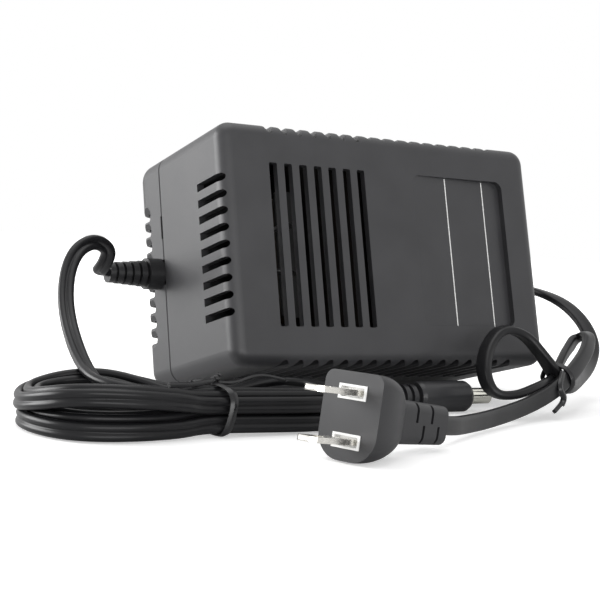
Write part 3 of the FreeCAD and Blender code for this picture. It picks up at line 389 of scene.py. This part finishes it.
def twin_section():
    """Two round cores side by side, with a groove between them."""
    bm = bmesh.new()
    bmesh.ops.create_circle(bm, segments=32, radius=1)
    core = TWIN_THICKNESS / 2
    shift = TWIN_WIDTH / 2 - core
    for v in bm.verts:
        angle = math.atan2(v.co.y, abs(v.co.x)) * TWIN_WRAP
        if abs(v.co.x) < 0.001:
            v.co.x = 0
        else:
            v.co.x = math.copysign(shift + core * math.cos(angle), v.co.x)
        v.co.y = core * math.sin(angle)
    return bm


arch, arch_ways = apart(OUTPUT_ROUTE)
turns = hank_points()
tail = [Vector(p) for p in OUTPUT_END]
uneven = random.Random(11)
turn_ways = []
for _ in turns:
    lean = Vector((0, uneven.uniform(-TWIN_LEAN, TWIN_LEAN), 1))
    turn_ways.append(lean.normalized())
tail_ways = [Vector((0, 0, 1)) for _ in tail]
output_line, output_places = lead_path(arch + turns + tail, arch_ways + turn_ways + tail_ways)
output_lead = object_of(swept(twin_section(), output_places), "output_twin_lead", lead_vinyl)
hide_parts("output_lead", "output_lead_hank", "output_lead_end")

# Hank tie: a flat vinyl twist tie with a steel core, wrapped round the middle of the hank
# and twisted shut on top of its front runs. One tail lies left, the other arches right.
TIE_WIDTH = 0.0026
TIE_THICKNESS = 0.0007
tie_vinyl = moulded(
    "tie_vinyl", (0.008, 0.008, 0.009), (0.012, 0.012, 0.013), 0.3, 0.0007, 0.00001, 0.35
)


def ribbon_section(width, thickness):
    """A flat strip with a ridge over its wire."""
    bm = bmesh.new()
    bmesh.ops.create_circle(bm, segments=20, radius=0.5)
    for v in bm.verts:
        ridge = math.exp(-((v.co.x / 0.16) ** 2))
        v.co.x = width * math.copysign(abs(v.co.x * 2) ** 0.7, v.co.x) / 2
        v.co.y *= thickness * (0.75 + 0.9 * ridge)
    return bm


def strip(points, ways, width, thickness):
    """A piece of tie along a route, with the direction of its width at each point."""
    _, places = lead_path([Vector(p) for p in points], [Vector(w).normalized() for w in ways])
    return swept(ribbon_section(width, thickness), places)


def joined(parts):
    """Several meshes as one."""
    whole = bmesh.new()
    for part in parts:
        mesh = bpy.data.meshes.new("part")
        part.to_mesh(mesh)
        part.free()
        whole.from_mesh(mesh)
        bpy.data.meshes.remove(mesh)
    return whole


WRAP = [
    (-0.0868, -0.0600, 0.0138),
    (-0.0855, -0.0690, 0.0142),
    (-0.0842, -0.0765, 0.0138),
    (-0.0838, -0.0790, 0.0110),
    (-0.0845, -0.0793, 0.0065),
    (-0.0858, -0.0788, 0.0014),
    (-0.0866, -0.0760, 0.0006),
    (-0.0870, -0.0680, 0.0006),
    (-0.0872, -0.0600, 0.0006),
    (-0.0874, -0.0560, 0.0012),
    (-0.0875, -0.0550, 0.0060),
    (-0.0874, -0.0556, 0.0118),
    (-0.0868, -0.0600, 0.0138),
]
LEFT_TAIL = [
    (-0.0850, -0.0685, 0.0150),
    (-0.0872, -0.0700, 0.0150),
    (-0.0930, -0.0720, 0.0144),
    (-0.0980, -0.0735, 0.0146),
    (-0.1025, -0.0745, 0.0146),
]
RIGHT_TAIL = [
    (-0.0850, -0.0675, 0.0146),
    (-0.0800, -0.0650, 0.0136),
    (-0.0740, -0.0625, 0.0136),
    (-0.0690, -0.0610, 0.0148),
    (-0.0650, -0.0600, 0.0152),
    (-0.0600, -0.0590, 0.0145),
    (-0.0555, -0.0580, 0.0134),
]
knot = []
KNOT_POINTS = 10
KNOT_START = (-0.0862, -0.0685, 0.0148)
KNOT_ALONG, KNOT_CLIMB, KNOT_RADIUS = 0.0003, 0.00012, 0.0009
for i in range(KNOT_POINTS):
    angle = i * math.pi / 2
    x, y, z = KNOT_START
    spot = Vector((x + KNOT_ALONG * i, y, z + KNOT_CLIMB * i))
    knot.append(spot + Vector((0, math.cos(angle), math.sin(angle))) * KNOT_RADIUS)
along_x = (1, 0, 0)
tie_parts = [
    strip(WRAP, [along_x] * len(WRAP), TIE_WIDTH, TIE_THICKNESS),
    strip(LEFT_TAIL, [(0, 0.6, 0.8)] * len(LEFT_TAIL), TIE_WIDTH * 0.65, TIE_THICKNESS),
    strip(RIGHT_TAIL, [(0, 1, 0.1)] * len(RIGHT_TAIL), TIE_WIDTH * 0.4, TIE_THICKNESS),
    strip(knot, [along_x] * len(knot), TIE_WIDTH * 0.6, TIE_THICKNESS),
]
hank_wrap = object_of(joined(tie_parts), "hank_twist_tie", tie_vinyl)
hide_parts("hank_tie")

# Barrel connector: ribbed vinyl overmould on the lead, with a nickel-plated sleeve round
# an insulator and a sprung inner contact.
jack_vinyl = moulded(
    "jack_vinyl", (0.017, 0.017, 0.019), (0.022, 0.022, 0.024), 0.36, 0.0005, 0.000008, 0.4
)
dress(jack_vinyl, "jack_shell")
dress(metal("sleeve_nickel", (0.8, 0.79, 0.72), 0.16, 0.0006, (0.1, 1, 1)), "jack_sleeve")
insulator_plastic = moulded(
    "insulator_plastic", (0.02, 0.02, 0.02), (0.025, 0.025, 0.025), 0.4, 0.0005, 0.000006
)
dress(insulator_plastic, "jack_insulator")
dress(metal("contact_bronze", (0.6, 0.45, 0.2), 0.25, 0.0005), "jack_contact")

# Mains lead: flat sheathed lead. It arcs out of its strain relief and round to the front, is
# folded into two loops under a twist tie, and lies on the ground up to the plug.
FLAT_WIDTH = 0.0056
FLAT_THICKNESS = 0.003
FLAT_SQUARENESS = (0.55, 0.6)  # below 1, the section's corners are fuller than an ellipse's
MAINS_ROUTE = [
    ((0.0832, 0.0165, 0.0404), (0, 1, 0.1)),
    ((0.0950, 0.0165, 0.0404), (0, 1, 0.1)),
    ((0.1063, 0.0128, 0.0388), (0.25, 1, 0.2)),
    ((0.1113, 0.0030, 0.0352), (0.7, 0.6, 0.4)),
    ((0.1116, -0.0085, 0.0288), (0.9, 0.1, 0.35)),
    ((0.1096, -0.0175, 0.0204), (0.8, -0.35, 0.1)),
    ((0.1000, -0.0260, 0.0134), (0.65, -0.36, -0.5)),
    ((0.0840, -0.0375, 0.0096), (0.3, -0.1, -0.9)),
    ((0.0655, -0.0525, 0.0086), (0, 0.2, -0.95)),
    ((0.0548, -0.0583, 0.0124), (-0.1, 0.5, -0.85)),
    ((0.0485, -0.0560, 0.0205), (0, 1, -0.1)),
    ((0.0430, -0.0525, 0.0276), (0, 1, 0)),
    ((0.0330, -0.0520, 0.0298), (0, 1, 0)),
    ((0.0248, -0.0545, 0.0238), (0, 1, 0)),
    ((0.0196, -0.0595, 0.0155), (0, 1, 0)),
    ((0.0208, -0.0640, 0.0085), (0, 1, 0)),
    ((0.0300, -0.0655, 0.0082), (0, 0.95, -0.25)),
    ((0.0420, -0.0630, 0.0113), (0, 0.9, -0.4)),
    ((0.0505, -0.0575, 0.0113), (0.1, 0.7, -0.7)),
    ((0.0575, -0.0530, 0.0136), (0.4, 0.7, -0.5)),
    ((0.0640, -0.0485, 0.0176), (0.6, 0.6, -0.3)),
    ((0.0725, -0.0425, 0.0212), (0.75, 0.6, -0.1)),
    ((0.0795, -0.0390, 0.0250), (0.93, 0.37, 0)),
    ((0.0800, -0.0450, 0.0272), (0.93, 0.37, 0)),
    ((0.0750, -0.0505, 0.0226), (0.9, 0.3, -0.1)),
    ((0.0660, -0.0560, 0.0176), (0.8, 0.1, -0.5)),
    ((0.0555, -0.0613, 0.0130), (0.5, -0.2, -0.8)),
    ((0.0450, -0.0658, 0.0090), (0.1, 0, -1)),
    ((0.0290, -0.0710, 0.0052), (0, 0, -1)),
    ((0.0060, -0.0815, 0.0036), (0, 0, -1)),
    ((-0.0140, -0.0930, 0.0042), (0, 0, -1)),
    ((-0.0246, -0.1005, 0.0054), (0, 0, -1)),
    ((-0.0350, -0.1057, 0.0070), (0, 0, -1)),
]


def flat_section():
    """A flat sheath with rounded corners."""
    bm = bmesh.new()
    bmesh.ops.create_circle(bm, segments=24, radius=1)
    for v in bm.verts:
        v.co.x = math.copysign(abs(v.co.x) ** FLAT_SQUARENESS[0], v.co.x) * FLAT_WIDTH / 2
        v.co.y = math.copysign(abs(v.co.y) ** FLAT_SQUARENESS[1], v.co.y) * FLAT_THICKNESS / 2
    return bm


mains_line, mains_places = lead_path(*apart(MAINS_ROUTE))
mains_lead = object_of(swept(flat_section(), mains_places), "mains_flat_lead", lead_vinyl)
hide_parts("mains_lead")

# Mains tie: the same kind of twist tie, round the crossing of the two loops. One short end
# lies under it, and the other is folded back.
CROSSING = Vector((0.0548, -0.0577, 0.0126))
CROSSING_WAY = Vector((0.93, 0.33, 0.15)).normalized()
RING_HIGH, RING_WIDE = 0.0050, 0.0060
side_way = Vector((0, 0, 1)).cross(CROSSING_WAY).normalized()
top_way = CROSSING_WAY.cross(side_way)
ring = []
RING_POINTS = 12
for i in range(RING_POINTS + 1):
    angle = 2 * math.pi * i / RING_POINTS
    outwards = side_way * RING_WIDE * math.cos(angle) + top_way * RING_HIGH * math.sin(angle)
    ring.append(CROSSING + outwards)
SHORT_TAIL = [
    (0.0535, -0.0610, 0.0078),
    (0.0523, -0.0640, 0.0072),
    (0.0505, -0.0657, 0.0060),
    (0.0473, -0.0670, 0.0042),
    (0.0448, -0.0680, 0.0030),
]
FOLDED_END = [
    (0.0525, -0.0625, 0.0156),
    (0.0490, -0.0655, 0.0134),
    (0.0476, -0.0670, 0.0106),
    (0.0492, -0.0672, 0.0084),
    (0.0508, -0.0664, 0.0066),
    (0.0494, -0.0666, 0.0050),
]
mains_tie_parts = [
    strip(ring, [CROSSING_WAY] * len(ring), 0.0026, TIE_THICKNESS * 1.6),
    strip(SHORT_TAIL, [(0.3, 0, 1)] * len(SHORT_TAIL), 0.0016, TIE_THICKNESS * 1.6),
    strip(FOLDED_END, [(1, 0, 0.2)] * len(FOLDED_END), 0.0020, TIE_THICKNESS * 1.2),
]
mains_wrap = object_of(joined(mains_tie_parts), "mains_twist_tie", tie_vinyl)
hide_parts("mains_lead_tie")

# Mains plug: vinyl body moulded round a hard white holder that carries two nickel-plated
# brass blades. Its grip is slotted from both edges so that the lead can bend.
plug_vinyl = moulded(
    "plug_vinyl", (0.014, 0.014, 0.0155), (0.018, 0.018, 0.02), 0.45, 0.0005, 0.00001, 0.4
)
dress(plug_vinyl, "plug_body")
holder_plastic = moulded(
    "holder_plastic", (0.7, 0.7, 0.69), (0.76, 0.76, 0.75), 0.35, 0.0008, 0.000008
)
dress(holder_plastic, "plug_holder")
blade_nickel = metal("blade_nickel", (0.86, 0.84, 0.79), 0.24, 0.0005, (0.15, 1, 1))
dress(blade_nickel, "plug_blade_lower", "plug_blade_upper")

# Floor: a white table under soft studio light. The camera sees white behind the object,
# and so do the metal parts; the floor keeps the object's shadow.
FLOOR_REACH = 2.5
FLOOR_NEAR, FLOOR_FAR = 0.16, 0.5
GLOW_NEAR, GLOW_FAR = 0.42, 1.0
bm = bmesh.new()
bmesh.ops.create_grid(bm, x_segments=1, y_segments=1, size=FLOOR_REACH)
table_white, tree, skin = shader("table_white", (0.86, 0.86, 0.86), 0.9)
skin.inputs["Specular IOR Level"].default_value = 0.0
light_path = tree.nodes.new("ShaderNodeLightPath")
place = tree.nodes.new("ShaderNodeTexCoord")
away = tree.nodes.new("ShaderNodeVectorMath")
away.operation = "LENGTH"
tree.links.new(place.outputs["Object"], away.inputs[0])
glow = tree.nodes.new("ShaderNodeMapRange")
glow.inputs["From Min"].default_value = FLOOR_NEAR
glow.inputs["From Max"].default_value = FLOOR_FAR
glow.inputs["To Min"].default_value = GLOW_NEAR
glow.inputs["To Max"].default_value = GLOW_FAR
tree.links.new(away.outputs["Value"], glow.inputs["Value"])
seen = tree.nodes.new("ShaderNodeMath")
seen.operation = "MULTIPLY"
tree.links.new(glow.outputs["Result"], seen.inputs[1])
tree.links.new(light_path.outputs["Is Camera Ray"], seen.inputs[0])
skin.inputs["Emission Color"].default_value = (1, 1, 1, 1)
tree.links.new(seen.outputs["Value"], skin.inputs["Emission Strength"])
mesh = bpy.data.meshes.new("floor")
bm.to_mesh(mesh)
bm.free()
floor = bpy.data.objects.new("floor", mesh)
bpy.context.scene.collection.objects.link(floor)
mesh.materials.append(table_white)

ROOM_LIGHT, ROOM_SEEN = 0.5, 1.0
world = bpy.data.worlds.new("studio")
bpy.context.scene.world = world
world.use_nodes = True
tree = world.node_tree
background = tree.nodes["Background"]
background.inputs["Color"].default_value = (1, 1, 1, 1)
light_path = tree.nodes.new("ShaderNodeLightPath")
direct = tree.nodes.new("ShaderNodeMath")
direct.operation = "MAXIMUM"
tree.links.new(light_path.outputs["Is Camera Ray"], direct.inputs[0])
tree.links.new(light_path.outputs["Is Glossy Ray"], direct.inputs[1])
strength = tree.nodes.new("ShaderNodeMapRange")
strength.inputs["To Min"].default_value = ROOM_LIGHT
strength.inputs["To Max"].default_value = ROOM_SEEN
tree.links.new(direct.outputs["Value"], strength.inputs["Value"])
tree.links.new(strength.outputs["Result"], background.inputs["Strength"])


def softbox(name, place, target, size, power):
    """A large soft lamp at one place, turned to another."""
    lamp = bpy.data.lights.new(name, "AREA")
    lamp.shape = "RECTANGLE"
    lamp.size, lamp.size_y = size
    lamp.energy = power
    thing = bpy.data.objects.new(name, lamp)
    bpy.context.scene.collection.objects.link(thing)
    thing.location = place
    thing.visible_camera = False
    thing.rotation_euler = (Vector(target) - Vector(place)).to_track_quat("-Z", "Y").to_euler()


CENTRE = (0, 0, 0.04)
softbox("left_softbox", (-0.86, 0.56, 0.26), CENTRE, (0.8, 0.6), 14)
softbox("top_softbox", (0.0, 0.1, 1.2), CENTRE, (1.0, 1.0), 5)
softbox("front_softbox", (-0.2, -1.0, 0.15), CENTRE, (0.9, 0.4), 6)

CAMERA_PLACE = Vector((-0.25929, -0.39671, 0.06083))
CAMERA_RIGHT = Vector((0.8531, -0.51817, 0.06099))
CAMERA_UP = Vector((-0.0219, 0.08126, 0.99642))
lens = bpy.data.cameras.new("camera")
lens.lens = 78.77
lens.sensor_width = 36.0
lens.clip_start = 0.01
camera = bpy.data.objects.new("camera", lens)
bpy.context.scene.collection.objects.link(camera)
turn = Matrix((CAMERA_RIGHT, CAMERA_UP, CAMERA_RIGHT.cross(CAMERA_UP))).transposed()
camera.matrix_world = Matrix.Translation(CAMERA_PLACE) @ turn.to_4x4()
bpy.context.scene.camera = camera
bpy.context.scene.view_settings.view_transform = "Standard"
